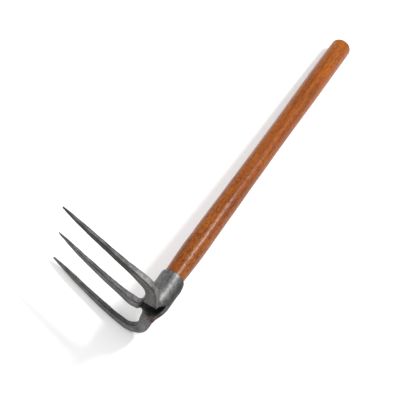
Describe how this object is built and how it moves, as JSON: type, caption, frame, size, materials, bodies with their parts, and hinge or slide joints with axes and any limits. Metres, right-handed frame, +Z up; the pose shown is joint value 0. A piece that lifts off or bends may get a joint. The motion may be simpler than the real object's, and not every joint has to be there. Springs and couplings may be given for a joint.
{
  "type": "hand cultivator",
  "caption": "Hand cultivator: forged head with parallel pointed tines set across a rolled socket, on a turned and varnished wooden handle with a rounded grip end.",
  "frame": {"origin": "centre of the bounding box's underside, on the bench that the tool lies on", "axes": "the tool lies on its side: +X runs along the handle towards the grip's end, +Y is the way the tines point, +Z is up, across the row of tines; the socket's axis dips 4.719 degrees below +X so that the end of the grip touches the bench"},
  "size_m": [0.5356, 0.1592, 0.1114],
  "materials": {
    "forged_steel": "hammer-forged, grey scale with a few rust specks",
    "varnished_wood": "turned hardwood under glossy orange-brown varnish",
    "nail_steel": "plain drawn wire, dull"
  },
  "bodies": {
    "root": {"forged_head": "forged_steel", "wooden_handle": "varnished_wood", "retaining_nail": "nail_steel"}
  },
  "joints": []
}
